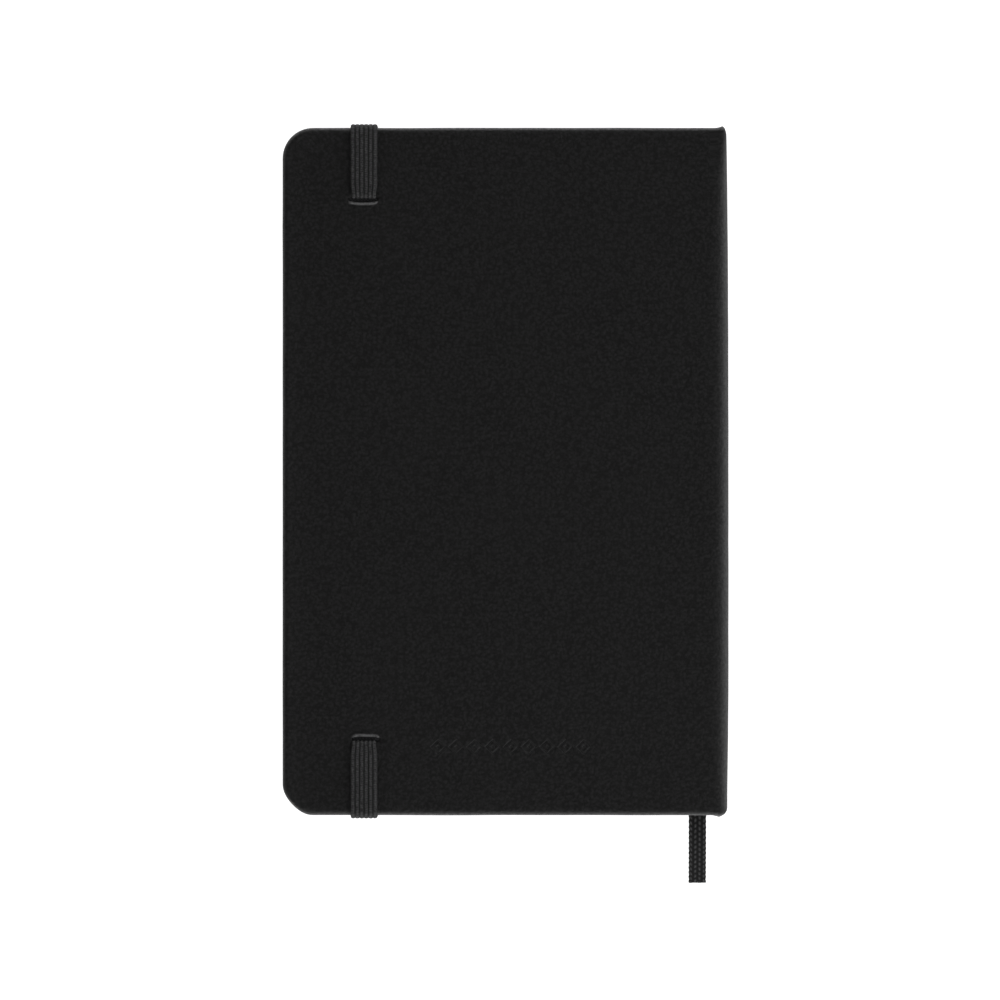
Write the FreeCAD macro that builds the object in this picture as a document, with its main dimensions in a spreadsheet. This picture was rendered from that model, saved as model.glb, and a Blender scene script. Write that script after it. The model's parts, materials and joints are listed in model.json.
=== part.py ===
"""Pocket notebook, 9 x 14 cm, sewn and case-bound, with an elastic closure band.

Millimetres. The closed notebook lies on its front cover: +Z is up, out of the back cover,
+Y points to the head, +X to the spine, and the origin is under the middle of the box that
holds it, on the surface it rests on.
"""
import FreeCAD, Part
import Sketcher
import math
import os

SIZES = [
    # The case: two covers and a spine
    ("cover_fore", -45.25), ("cover_joint", 43.05), ("cover_half", 70.0), ("cover_corner", 6.2),
    ("front_face", 0.85), ("back_face", 15.02),
    ("skin", 0.3), ("board", 1.4), ("board_joint", 41.9), ("rounding", 0.7), ("turn_in", 12.0),
    ("paper", 0.12), ("pastedown_inset", 3.0), ("fit_gap", 0.03),
    ("spine_inner", 43.1), ("spine_outer", 45.25), ("shoulder", 2.1),
    ("strip_outer", 44.9), ("strip_thick", 0.5), ("strip_low", 3.0), ("strip_high", 12.87),
    ("lining_outer", 44.36), ("lining_thick", 0.28), ("lining_half", 62.0),
    # The block of folded sections
    ("block_fore", -42.5), ("block_spine", 43.7), ("block_half", 67.3), ("block_corner", 5.5),
    ("front_leaf_low", 3.03), ("first_section_low", 3.19), ("section_thick", 0.68),
    ("section_pitch", 0.70), ("ribbon_space", 0.28), ("fold_rounding", 0.32),
    ("rear_leaf_low", 11.87), ("leaf_spine", 43.3),
    ("thread_radius", 0.14), ("thread_place", 43.89), ("thread_low", 3.3), ("thread_high", 11.7),
    # The ribbon marker
    ("ribbon_middle", 39.2), ("ribbon_width", 3.5), ("ribbon_thick", 0.25), ("ribbon_level", 7.51),
    ("anchor_tail", 56.0), ("anchor_head", 68.2), ("anchor_inner", 43.76),
    # The elastic band
    ("band_middle", -28.8), ("band_width", 5.7), ("band_thick", 0.8), ("band_seat", 15.05),
    ("band_bend", 0.75), ("leg_inner", 70.05),
    ("slit_place", 55.0), ("slit_width", 6.3), ("slit_gap", 0.9),
    ("flap_thick", 0.24), ("flap_length", 9.0),
    # The pocket inside the back cover
    ("pocket_fore", -39.0), ("pocket_joint", 33.0), ("pocket_tail", -66.0), ("pocket_head", 62.0),
    ("pocket_corner", 2.0),
    ("panel_low", 12.05), ("panel_thick", 0.25), ("gusset_low", 12.32), ("gusset_thick", 0.4),
    ("gusset_width", 6.0), ("pocket_sheet_low", 12.74), ("pocket_sheet_thick", 0.15),
    ("tape_thick", 0.5),
]
SECTIONS = 12
SECTIONS_BELOW_RIBBON = 6
STITCH_PLACES = (-52.0, -26.0, 0.0, 26.0, 52.0)
# The ribbon's centre line in the plane of its middle, as (Y, Z): held straight between two
# sections, then drooping from the tail edge until its cut end rests on the table.
RIBBON_ROUTE = [(66.3, 7.51), (-69.0, 7.51), (-74.0, 6.45), (-79.3, 3.75), (-84.0, 0.3)]

doc = FreeCAD.newDocument("pocket_notebook")


def make_sheet():
    sheet = doc.addObject("Spreadsheet::Sheet", "Sizes")
    for row, (name, value) in enumerate(SIZES, start=1):
        sheet.set("A%d" % row, name)
        sheet.set("B%d" % row, str(value))
        sheet.setAlias("B%d" % row, name)
    doc.recompute()
    return sheet


sheet = make_sheet()


def cell(name):
    """The expression that reads one cell of the sheet."""
    return "Sizes." + name


def value(expression):
    """What an expression comes to, as a plain number."""
    return float(sheet.evalExpression(expression))


def minus(expression):
    return "-(%s)" % expression


def plus(*expressions):
    return " + ".join("(%s)" % e for e in expressions)


def new_body(label):
    body = doc.addObject("PartDesign::Body", label)
    body.Label = label
    return body


def new_sketch(body, plane, offset):
    """A sketch on one of the body's own origin planes, moved along that plane's normal."""
    sketch = body.newObject("Sketcher::SketchObject", body.Name + "_sketch")
    support = next(f for f in body.Origin.OriginFeatures if f.Role == plane)
    sketch.AttachmentSupport = (support, [""])
    sketch.MapMode = "FlatFace"
    sketch.setExpression("AttachmentOffset.Base.z", offset)
    return sketch


def hold(sketch, name, kind, edge, end, expression):
    """Ties one end of an edge to the origin by a named distance."""
    index = sketch.addConstraint(Sketcher.Constraint(kind, -1, 1, edge, end, value(expression)))
    sketch.renameConstraint(index, name)
    sketch.setExpression("Constraints." + name, expression)


def draw_outline(sketch, corners):
    """A closed outline of straight edges through corners given as pairs of expressions."""
    points = [FreeCAD.Vector(value(a), value(b), 0) for a, b in corners]
    count = len(points)
    for i in range(count):
        sketch.addGeometry(Part.LineSegment(points[i], points[(i + 1) % count]))
    for i in range(count):
        sketch.addConstraint(Sketcher.Constraint("Coincident", i, 2, (i + 1) % count, 1))
    for i, (across, up) in enumerate(corners):
        hold(sketch, "across%d" % i, "DistanceX", i, 1, across)
        hold(sketch, "up%d" % i, "DistanceY", i, 1, up)


def box_corners(left, right, low, high):
    return [(left, low), (right, low), (right, high), (left, high)]


def draw_leaf(sketch, left, right, half, radius):
    """The outline of a cover or a leaf: square at the spine, rounded at the fore-edge."""
    x0, x1, y1, r = value(left), value(right), value(half), value(radius)
    vector = FreeCAD.Vector
    quarter = math.pi / 2

    def arc(y, start):
        circle = Part.Circle(vector(x0 + r, y, 0), vector(0, 0, 1), r)
        return Part.ArcOfCircle(circle, start, start + quarter)

    sketch.addGeometry(Part.LineSegment(vector(x1, y1, 0), vector(x0 + r, y1, 0)))
    sketch.addGeometry(arc(y1 - r, quarter))
    sketch.addGeometry(Part.LineSegment(vector(x0, y1 - r, 0), vector(x0, r - y1, 0)))
    sketch.addGeometry(arc(r - y1, 2 * quarter))
    sketch.addGeometry(Part.LineSegment(vector(x0 + r, -y1, 0), vector(x1, -y1, 0)))
    sketch.addGeometry(Part.LineSegment(vector(x1, -y1, 0), vector(x1, y1, 0)))
    for first, second in ((0, 1), (1, 2), (2, 3), (3, 4)):
        sketch.addConstraint(Sketcher.Constraint("Tangent", first, 2, second, 1))
    sketch.addConstraint(Sketcher.Constraint("Coincident", 4, 2, 5, 1))
    sketch.addConstraint(Sketcher.Constraint("Coincident", 5, 2, 0, 1))
    for edge, kind in ((0, "Horizontal"), (2, "Vertical"), (4, "Horizontal"), (5, "Vertical")):
        sketch.addConstraint(Sketcher.Constraint(kind, edge))
    sketch.addConstraint(Sketcher.Constraint("Equal", 1, 3))
    index = sketch.addConstraint(Sketcher.Constraint("Radius", 1, r))
    sketch.renameConstraint(index, "corner")
    sketch.setExpression("Constraints.corner", radius)
    hold(sketch, "joint_edge", "DistanceX", 0, 1, right)
    hold(sketch, "head_edge", "DistanceY", 0, 1, half)
    hold(sketch, "fore_edge", "DistanceX", 2, 1, left)
    hold(sketch, "tail_edge", "DistanceY", 4, 2, minus(half))


def pad(body, sketch, length, both_ways=False):
    feature = body.newObject("PartDesign::Pad", body.Name + "_pad")
    feature.Profile = sketch
    feature.setExpression("Length", length)
    feature.Midplane = both_ways
    doc.recompute()
    return feature


def pocket(body, sketch, length, both_ways=False):
    """Cuts upwards from the sketch, or both ways from it, and makes sure that it cut."""
    before = body.Shape.Volume
    feature = body.newObject("PartDesign::Pocket", body.Name + "_pocket")
    feature.Profile = sketch
    feature.Reversed = not both_ways
    feature.Midplane = both_ways
    feature.setExpression("Length", length)
    doc.recompute()
    if body.Shape.Volume > before - 0.01:
        raise RuntimeError("%s: a pocket cuts nothing" % body.Label)
    return feature


def fillet(body, radius, wanted):
    """Rounds the edges of the body's last feature that the test picks."""
    base = body.Tip
    names = ["Edge%d" % n for n, edge in enumerate(base.Shape.Edges, start=1) if wanted(edge)]
    feature = body.newObject("PartDesign::Fillet", body.Name + "_fillet")
    feature.Base = (base, names)
    feature.setExpression("Radius", radius)
    doc.recompute()
    return feature


def at(edge, **places):
    """True if both ends of an edge lie at the given X, Y or Z."""
    ends = [vertex.Point for vertex in edge.Vertexes]
    return all(abs(getattr(p, k) - v) < 1e-4 for p in ends for k, v in places.items())


def leaf(label, left, right, half, radius, low, thick):
    body = new_body(label)
    sketch = new_sketch(body, "XY_Plane", low)
    draw_leaf(sketch, left, right, half, radius)
    pad(body, sketch, thick)
    return body


def block(label, left, right, tail, head, low, thick):
    body = new_body(label)
    sketch = new_sketch(body, "XY_Plane", low)
    draw_outline(sketch, box_corners(left, right, tail, head))
    pad(body, sketch, thick)
    return body


def layer_low(side, depth, thick):
    """The underside of a layer of a cover that starts at a depth below its outer face."""
    if side == "front":
        return plus(cell("front_face"), depth)
    return plus(cell("back_face"), minus(depth), minus(thick))


def cut_slits(body, low, thick):
    """The two slits that the elastic band's ends go in through."""
    for sign in ("", "-"):
        middle = sign + cell("slit_place")
        half_gap = cell("slit_gap") + " / 2"
        half_width = cell("slit_width") + " / 2"
        sketch = new_sketch(body, "XY_Plane", low)
        draw_outline(sketch, box_corners(
            plus(cell("band_middle"), minus(half_width)), plus(cell("band_middle"), half_width),
            plus(middle, minus(half_gap)), plus(middle, half_gap)))
        pocket(body, sketch, thick)


def make_board(side):
    low = layer_low(side, cell("skin"), cell("board"))
    board = leaf(side + "_board", plus(cell("cover_fore"), cell("skin")), cell("board_joint"),
                 plus(cell("cover_half"), minus(cell("skin"))),
                 plus(cell("cover_corner"), minus(cell("skin"))), low, cell("board"))
    if side == "back":
        cut_slits(board, low, cell("board"))
    return board


def make_cover_skin(side):
    """The covering sheet: an outer face, three wrapped edges and the turn-ins inside."""
    thick = plus(cell("skin"), cell("board"), cell("skin"))
    skin = leaf(side + "_cover_skin", cell("cover_fore"), cell("cover_joint"), cell("cover_half"),
                cell("cover_corner"), layer_low(side, "0", thick), thick)
    outer_face = value(cell(side + "_face"))
    joint = value(cell("cover_joint"))
    fillet(skin, cell("rounding"), lambda e: at(e, z=outer_face) and not at(e, x=joint))
    beyond = plus(cell("cover_joint"), "1")
    cavity = new_sketch(skin, "XY_Plane", layer_low(side, cell("skin"), cell("board")))
    draw_leaf(cavity, plus(cell("cover_fore"), cell("skin")), beyond,
              plus(cell("cover_half"), minus(cell("skin"))),
              plus(cell("cover_corner"), minus(cell("skin"))))
    pocket(skin, cavity, cell("board"))
    window_depth = plus(cell("skin"), cell("board"))
    window = new_sketch(skin, "XY_Plane", layer_low(side, window_depth, cell("skin")))
    draw_outline(window, box_corners(
        plus(cell("cover_fore"), cell("turn_in")), beyond,
        plus(minus(cell("cover_half")), cell("turn_in")),
        plus(cell("cover_half"), minus(cell("turn_in")))))
    pocket(skin, window, cell("skin"))
    if side == "back":
        cut_slits(skin, layer_low(side, "0", cell("skin")), cell("skin"))
    return skin


def make_pastedown(side):
    """Endpaper glued over the turn-ins, and down into the window between them."""
    inset = cell("pastedown_inset")
    depth = plus(cell("skin"), cell("board"), cell("skin"))
    sheet_low = layer_low(side, depth, cell("paper"))
    body = leaf(side + "_pastedown", plus(cell("cover_fore"), inset), cell("board_joint"),
                plus(cell("cover_half"), minus(inset)), plus(cell("cover_corner"), minus(inset)),
                sheet_low, cell("paper"))
    pad_depth = plus(cell("skin"), cell("board"))
    inner = new_sketch(body, "XY_Plane", layer_low(side, pad_depth, cell("skin")))
    window_half = plus(cell("cover_half"), minus(cell("turn_in")), minus(cell("fit_gap")))
    draw_outline(inner, box_corners(
        plus(cell("cover_fore"), cell("turn_in"), cell("fit_gap")), cell("board_joint"),
        minus(window_half), window_half))
    pad(body, inner, cell("skin"))
    if side == "back":
        cut_flap_reliefs(body, layer_low(side, pad_depth, cell("skin")))
    return body


def cut_flap_reliefs(body, low):
    """Room in the pastedown's raised middle for the glued-down ends of the band."""
    half_width = plus(cell("slit_width") + " / 2")
    outer = plus(cell("cover_half"), minus(cell("turn_in")))
    inner = plus(cell("slit_place"), minus(cell("flap_length")), "-1")
    for low_end, high_end in ((inner, outer), (minus(outer), minus(inner))):
        sketch = new_sketch(body, "XY_Plane", low)
        draw_outline(sketch, box_corners(
            plus(cell("band_middle"), minus(half_width)), plus(cell("band_middle"), half_width),
            low_end, high_end))
        pocket(body, sketch, cell("skin"))


def round_shoulders(body, x, levels, radius):
    fillet(body, radius, lambda e: any(at(e, x=x, z=z) for z in levels))


def make_spine_skin():
    """The covering sheet over the spine, with a rounded shoulder at each cover."""
    body = new_body("spine_skin")
    length = plus("2 * " + cell("cover_half"))
    outer = new_sketch(body, "XZ_Plane", "0")
    draw_outline(outer, box_corners(cell("spine_inner"), cell("spine_outer"),
                                    cell("front_face"), cell("back_face")))
    pad(body, outer, length, both_ways=True)
    hollow = new_sketch(body, "XZ_Plane", "0")
    inside = plus(cell("spine_outer"), minus(cell("skin")))
    draw_outline(hollow, box_corners(
        plus(cell("spine_inner"), "-1"), inside,
        plus(cell("front_face"), cell("skin")), plus(cell("back_face"), minus(cell("skin")))))
    pocket(body, hollow, plus(length, "2"), both_ways=True)
    front, back, skin = (value(cell(name)) for name in ("front_face", "back_face", "skin"))
    round_shoulders(body, value(inside), (front + skin, back - skin),
                    plus(cell("shoulder"), minus(cell("skin"))))
    round_shoulders(body, value(cell("spine_outer")), (front, back), cell("shoulder"))
    return body


def make_spine_layers():
    half = plus(cell("cover_half"), minus(cell("skin")))
    strip = block("spine_strip", plus(cell("strip_outer"), minus(cell("strip_thick"))),
                  cell("strip_outer"), minus(half), half, cell("strip_low"),
                  plus(cell("strip_high"), minus(cell("strip_low"))))
    lining = block("spine_lining", plus(cell("lining_outer"), minus(cell("lining_thick"))),
                   cell("lining_outer"), minus(cell("lining_half")), cell("lining_half"),
                   cell("thread_low"), plus(cell("thread_high"), minus(cell("thread_low"))))
    return [strip, lining]


def make_thread():
    """The runs of thread that link the sections' folds, one at each sewing station."""
    runs = []
    for n, place in enumerate(STITCH_PLACES, start=1):
        run = doc.addObject("Part::Cylinder", "thread_run_%d" % n)
        run.setExpression("Radius", cell("thread_radius"))
        run.setExpression("Height", plus(cell("thread_high"), minus(cell("thread_low"))))
        run.setExpression("Placement.Base.x", cell("thread_place"))
        run.setExpression("Placement.Base.z", cell("thread_low"))
        run.Placement.Base.y = place
        runs.append(run)
    thread = doc.addObject("Part::Compound", "sewing_thread")
    thread.Label = "sewing_thread"
    thread.Links = runs
    return thread


def make_flyleaf(label, low):
    return leaf(label, cell("block_fore"), cell("leaf_spine"), cell("block_half"),
                cell("block_corner"), low, cell("paper"))


def make_section(number):
    """One folded and sewn section, its fold rounded at the spine."""
    below = number - 1
    extra = cell("ribbon_space") if number > SECTIONS_BELOW_RIBBON else "0"
    low = plus(cell("first_section_low"), "%d * %s" % (below, cell("section_pitch")), extra)
    section = leaf("section_%02d" % number, cell("block_fore"), cell("block_spine"),
                   cell("block_half"), cell("block_corner"), low, cell("section_thick"))
    fold = value(cell("block_spine"))
    levels = (value(low), value(low) + value(cell("section_thick")))
    fillet(section, cell("fold_rounding"), lambda e: any(at(e, x=fold, z=z) for z in levels))
    return section


def make_band_end(label, sign):
    """One end of the band: flat on the cover, in through the slit, glued down inside."""
    body = new_body(label)
    sketch = new_sketch(body, "YZ_Plane", cell("band_middle"))
    half_thick = cell("band_thick") + " / 2"
    seat = cell("band_seat")
    top = plus(seat, cell("band_thick"))
    flap_high = plus(cell("back_face"), minus(cell("skin")), minus(cell("board")),
                     minus(cell("fit_gap")))
    flap_low = plus(flap_high, minus(cell("flap_thick")))
    inner_side = plus(cell("slit_place"), minus(half_thick))
    outer_side = plus(cell("slit_place"), half_thick)
    flap_end = plus(cell("slit_place"), minus(cell("flap_length")))
    side_view = [(inner_side, top), (inner_side, flap_high), (flap_end, flap_high),
                 (flap_end, flap_low), (outer_side, flap_low), (outer_side, seat),
                 (cell("cover_half"), seat), (cell("cover_half"), top)]
    if sign < 0:
        side_view = [(minus(across), up) for across, up in side_view]
    draw_outline(sketch, side_view)
    pad(body, sketch, cell("band_width"), both_ways=True)
    bend = value(inner_side) * sign
    height = value(top)
    fillet(body, cell("band_bend") + " / 2", lambda e: at(e, y=bend, z=height))
    return body


def make_band_leg(label, sign):
    """The band's turn round the head or tail edge of both covers."""
    body = new_body(label)
    sketch = new_sketch(body, "YZ_Plane", cell("band_middle"))
    near = cell("leg_inner")
    far = plus(cell("leg_inner"), cell("band_thick"))
    top = plus(cell("band_seat"), cell("band_thick"))
    corners = box_corners(near, far, "0", top)
    if sign < 0:
        corners = [(minus(across), up) for across, up in corners]
    draw_outline(sketch, corners)
    pad(body, sketch, cell("band_width"), both_ways=True)
    outside = value(far) * sign
    ends = (0.0, value(top))
    fillet(body, cell("band_bend"), lambda e: any(at(e, y=outside, z=z) for z in ends))
    return body


def make_band_run():
    half_width = cell("band_width") + " / 2"
    return block("elastic_front_run", plus(cell("band_middle"), minus(half_width)),
                 plus(cell("band_middle"), half_width), minus(cell("cover_half")),
                 cell("cover_half"), "0", cell("band_thick"))


def make_pocket():
    """Pocket on the rear pastedown: back sheet, two gussets, base tape and swinging panel."""
    fore, joint = cell("pocket_fore"), cell("pocket_joint")
    tail, head = cell("pocket_tail"), cell("pocket_head")
    back_sheet = block("pocket_back_sheet", fore, joint, tail, head,
                       cell("pocket_sheet_low"), cell("pocket_sheet_thick"))
    panel = block("pocket_panel", fore, joint, tail, head, cell("panel_low"), cell("panel_thick"))
    head_y = value(head)
    fillet(panel, cell("pocket_corner"),
           lambda e: any(at(e, x=x, y=head_y) for x in (value(fore), value(joint))))
    gusset_head = plus(head, "-1")
    width = cell("gusset_width")
    gussets = [
        block("pocket_spine_gusset", plus(joint, minus(width)), joint, tail, gusset_head,
              cell("gusset_low"), cell("gusset_thick")),
        block("pocket_fore_gusset", fore, plus(fore, width), tail, gusset_head,
              cell("gusset_low"), cell("gusset_thick"))]
    tape_head = plus(tail, "-0.06")
    tape_high = plus(cell("pocket_sheet_low"), cell("pocket_sheet_thick"))
    tape = block("pocket_base_tape", fore, joint, plus(tape_head, minus(cell("tape_thick"))),
                 tape_head, cell("panel_low"), plus(tape_high, minus(cell("panel_low"))))
    return [back_sheet, panel, tape] + gussets


def arc_between(before, corner, after):
    """The tangent arc at a corner of the route, as large as its two runs allow."""
    into, out = before - corner, after - corner
    turn = math.pi - into.getAngle(out)
    shorter = min(into.Length, out.Length)
    radius = 0.45 * shorter / math.tan(turn / 2)
    reach = 0.45 * shorter
    into.normalize()
    out.normalize()
    start, end = corner + into * reach, corner + out * reach
    towards = into + out
    towards.normalize()
    centre = corner + towards * (radius / math.cos(turn / 2))
    middle = centre - towards * radius
    return radius, Part.Arc(start, middle, end), start, end


def make_ribbon():
    """Flat braided marker, swept along straight runs and tangent arcs."""
    x = value(cell("ribbon_middle"))
    points = [FreeCAD.Vector(x, y, z) for y, z in RIBBON_ROUTE]
    edges, last = [], points[0]
    for before, corner, after in zip(points, points[1:], points[2:]):
        radius, arc, start, end = arc_between(before, corner, after)
        print("ribbon bend radius %.1f mm" % radius)
        edges += [Part.LineSegment(last, start).toShape(), arc.toShape()]
        last = end
    edges.append(Part.LineSegment(last, points[-1]).toShape())
    path = Part.Wire(edges)
    wide, thick = value(cell("ribbon_width")) / 2, value(cell("ribbon_thick")) / 2
    start = points[0]
    section = Part.makePolygon([start + FreeCAD.Vector(a, 0, b) for a, b in (
        (-wide, -thick), (wide, -thick), (wide, thick), (-wide, thick), (-wide, -thick))])
    solid = path.makePipeShell([section], True, False)
    expected = 4 * wide * thick * path.Length
    if abs(solid.Volume - expected) > 0.01 * expected:
        raise RuntimeError("the ribbon's volume is %.2f, not %.2f" % (solid.Volume, expected))
    ribbon = doc.addObject("Part::Feature", "ribbon_marker")
    ribbon.Label = "ribbon_marker"
    ribbon.Shape = solid
    return ribbon


def make_anchor():
    """The ribbon's glued end, flat on the folds under the spine lining."""
    half_width = cell("ribbon_width") + " / 2"
    return block("ribbon_anchor", cell("anchor_inner"),
                 plus(cell("anchor_inner"), cell("ribbon_thick")),
                 cell("anchor_tail"), cell("anchor_head"),
                 plus(cell("ribbon_level"), minus(half_width)), cell("ribbon_width"))


def make_parts():
    parts = []
    for side in ("front", "back"):
        parts += [make_board(side), make_cover_skin(side), make_pastedown(side)]
    parts.append(make_spine_skin())
    parts += make_spine_layers()
    parts.append(make_thread())
    parts += [make_flyleaf("front_flyleaf", cell("front_leaf_low")),
              make_flyleaf("rear_flyleaf", cell("rear_leaf_low"))]
    parts += [make_section(n) for n in range(1, SECTIONS + 1)]
    parts += [make_ribbon(), make_anchor()]
    for end, sign in (("head", 1), ("tail", -1)):
        parts += [make_band_end("elastic_%s_end" % end, sign),
                  make_band_leg("elastic_%s_leg" % end, sign)]
    parts.append(make_band_run())
    parts += make_pocket()
    return parts


def check(parts):
    for item in doc.Objects:
        if "Invalid" in item.State or "Error" in item.State:
            raise RuntimeError("%s failed: %s" % (item.Label, item.State))
    for part in parts:
        if part.Shape.isNull() or not part.Shape.isValid():
            raise RuntimeError("%s has no valid shape" % part.Label)


def export(parts):
    os.makedirs("parts", exist_ok=True)
    for part in parts:
        part.Shape.exportStep("parts/%s.step" % part.Label)
        print("%-22s %8.1f mm3" % (part.Label, part.Shape.Volume))


notebook = make_parts()
doc.recompute()
check(notebook)
export(notebook)
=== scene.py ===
"""Looks of the pocket notebook: leatherette case, elastic band, braided ribbon and paper."""
import json
import math

import bpy
import bmesh
import numpy as np
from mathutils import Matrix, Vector, noise

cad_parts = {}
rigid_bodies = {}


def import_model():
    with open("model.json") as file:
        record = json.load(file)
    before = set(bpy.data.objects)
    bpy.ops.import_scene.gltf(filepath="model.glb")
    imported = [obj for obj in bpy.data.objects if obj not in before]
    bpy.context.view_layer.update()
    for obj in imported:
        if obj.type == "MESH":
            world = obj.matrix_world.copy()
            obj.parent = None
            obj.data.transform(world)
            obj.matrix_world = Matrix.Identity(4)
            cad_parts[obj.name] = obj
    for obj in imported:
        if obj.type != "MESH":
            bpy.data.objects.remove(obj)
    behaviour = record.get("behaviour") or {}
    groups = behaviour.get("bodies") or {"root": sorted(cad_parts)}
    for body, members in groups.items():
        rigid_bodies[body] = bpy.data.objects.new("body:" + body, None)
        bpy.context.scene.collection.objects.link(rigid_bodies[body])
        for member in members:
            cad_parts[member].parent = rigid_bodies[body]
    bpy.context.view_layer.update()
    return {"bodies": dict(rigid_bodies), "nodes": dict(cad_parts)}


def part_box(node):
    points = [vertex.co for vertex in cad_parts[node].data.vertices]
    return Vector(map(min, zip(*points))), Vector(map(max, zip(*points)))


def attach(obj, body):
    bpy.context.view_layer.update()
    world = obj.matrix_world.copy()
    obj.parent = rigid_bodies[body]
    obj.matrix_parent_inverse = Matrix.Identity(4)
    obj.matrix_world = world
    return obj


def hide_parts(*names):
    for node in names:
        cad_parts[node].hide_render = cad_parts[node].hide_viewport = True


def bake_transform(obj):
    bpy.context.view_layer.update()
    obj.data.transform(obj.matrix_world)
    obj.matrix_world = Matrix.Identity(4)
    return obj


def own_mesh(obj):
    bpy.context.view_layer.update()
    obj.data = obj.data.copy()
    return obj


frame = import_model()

MM = 0.001

# Places that the frame gives, in metres
cover_low, cover_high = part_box("back_cover_skin")
spine_low, spine_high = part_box("spine_skin")
run_low, run_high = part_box("elastic_front_run")
HALF = cover_high.y
BACK_FACE = cover_high.z
FRONT_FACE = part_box("front_cover_skin")[0].z
MIDDLE = (BACK_FACE + FRONT_FACE) / 2
COVER_THICK = BACK_FACE - cover_low.z
BOARD_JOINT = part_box("back_board")[1].x
SPINE_OUT = spine_high.x
SPINE_IN = spine_low.x
SHOULDER = SPINE_OUT - SPINE_IN

# The case's edges: the covering stands a little past the boards, at the head (1) and the tail (-1)
FORE = cover_low.x - 0.18 * MM
OVERHANG = {1: 0.08 * MM, -1: 0.20 * MM}
CORNER = 6.2 * MM
OUTER_ROUND = (1.25 * MM, 0.8 * MM)
INNER_ROUND = 0.5 * MM
RING_INSETS = [k * MM for k in (1.6, 2.2, 3.0, 4.0, 5.2)] + [CORNER]
ROUND_STEPS = 6
WRAP_WALL = 0.26 * MM
JOINT_TURN = 3.0 * MM
CORNER_STEPS = 16

# How far aside the front cover's part of the sheet is laid out flat, in metres
FRONT_LAID = 0.2

# How much the covering is painted pale as highlight: the head's edge has more of it than the other
# edges, and the spine's shoulder and the joint get some too
HEAD_EDGE_HIGHLIGHT = 1.5
SPINE_HIGHLIGHT = 0.20
JOINT_HIGHLIGHT = 0.04

# The spine and its shoulders. The covering stands out at the spine's ends by the caps, pairs of
# (place across, standing out) in millimetres for the head (1) and the tail (-1)
SHOULDER_START = 42.4 * MM
SHOULDER_POWER = 2.3
SPINE_FACE = SPINE_OUT + 0.4 * MM
SPINE_THICK = 1.1 * MM
SPINE_END = -0.25
CAP_SHAPES = {
    1: [(42.8, 0.0), (43.6, 0.10), (44.0, 0.24), (44.3, 0.34), (44.6, 0.28), (44.9, 0.02),
        (45.2, -0.5)],
    -1: [(42.2, 0.0), (43.0, 0.14), (43.7, 0.34), (44.2, 0.18), (44.8, -0.1), (45.2, -0.3),
         (45.4, -0.5)],
}

# The band and the two slits that it goes into, by side: 1 at the head, -1 at the tail
BAND_MIDDLE = (run_low.x + run_high.x) / 2
BAND_HALF = 0.955 * (run_high.x - run_low.x) / 2
BAND_THICK = run_high.z - run_low.z
RIBS = 6
KNIT_PITCH = 0.44 * MM
STRAP_STEPS = 48
SLIT_PLACES = {1: 55.35 * MM, -1: -54.65 * MM}
SLIT_MIDDLES = {1: BAND_MIDDLE - 0.25 * MM, -1: BAND_MIDDLE + 0.3 * MM}
SLIT_HALVES = {1: 2.95 * MM, -1: 2.75 * MM}
SLIT_GAP = 0.5 * MM
LIP_HEIGHT = 0.40 * MM

# The stamped row on the back cover
ORNAMENT = (1.2 * MM, -56.2 * MM)
ORNAMENT_HALF = (16.7 * MM, 1.75 * MM)
LOZENGES = 9
LOZENGE_PITCH = 2 * ORNAMENT_HALF[0] / LOZENGES
STAMP_DEPTH = 0.12 * MM

# The ribbon. Its route is (drift from its middle, place along, height) in millimetres
RIBBON_MIDDLE = 39.6 * MM
RIBBON_HALF = 1.78 * MM
RIBBON_ROUTE = [(0.0, 66.3, 7.51), (-0.12, -64.5, 7.51), (-0.12, -69.0, 7.51),
                (-0.08, -74.0, 6.45), (0.02, -79.6, 3.75), (0.12, -85.0, 0.3)]
BRAID_PITCH = 1.2 * MM
BRAID_COLUMNS = 4

# Paper and cloth
SECTIONS = 12
LEAVES_PER_SECTION = 8
LEAF_CORNER = 5.5 * MM
BEND_REACH = 9.0 * MM
GUSSET_WIDTH = 5.6 * MM

# The room: the floor, and the part of the back cover's level that the camera takes in
FLOOR_LEVEL = -1.0 * MM
FLOOR_HALF = 6.0
VIEW_WIDTH = 0.2039
VIEW_MIDDLE = (-1.07 * MM, -5.86 * MM)


# ---------------------------------------------------------------- node helpers

def node(tree, kind, inputs=None, **settings):
    """Adds a node, and links or sets its inputs, given by name or number."""
    made = tree.nodes.new(kind)
    for name, setting in settings.items():
        setattr(made, name, setting)
    for name, given in (inputs or {}).items():
        if isinstance(given, bpy.types.NodeSocket):
            tree.links.new(given, made.inputs[name])
        else:
            made.inputs[name].default_value = given
    return made


def maths(tree, operation, first, second=0.0):
    return node(tree, "ShaderNodeMath", {0: first, 1: second}, operation=operation).outputs[0]


def mix_colour(tree, share, first, second):
    made = node(tree, "ShaderNodeMix", {"Factor": share}, data_type="RGBA")
    for socket, colour in ((made.inputs[6], first), (made.inputs[7], second)):
        if isinstance(colour, bpy.types.NodeSocket):
            tree.links.new(colour, socket)
        else:
            socket.default_value = (*colour, 1)
    return made.outputs[2]


def spread(tree, value, low, high, to_low=0.0, to_high=1.0):
    return node(tree, "ShaderNodeMapRange", {
        "Value": value, "From Min": low, "From Max": high,
        "To Min": to_low, "To Max": to_high}).outputs["Result"]


def noise_at(tree, place, scale, detail=2.0, roughness=0.5):
    return node(tree, "ShaderNodeTexNoise", {
        "Vector": place, "Scale": scale, "Detail": detail, "Roughness": roughness}).outputs["Fac"]


def scaled(tree, place, scale):
    return node(tree, "ShaderNodeMapping", {"Vector": place, "Scale": scale}).outputs["Vector"]


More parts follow.
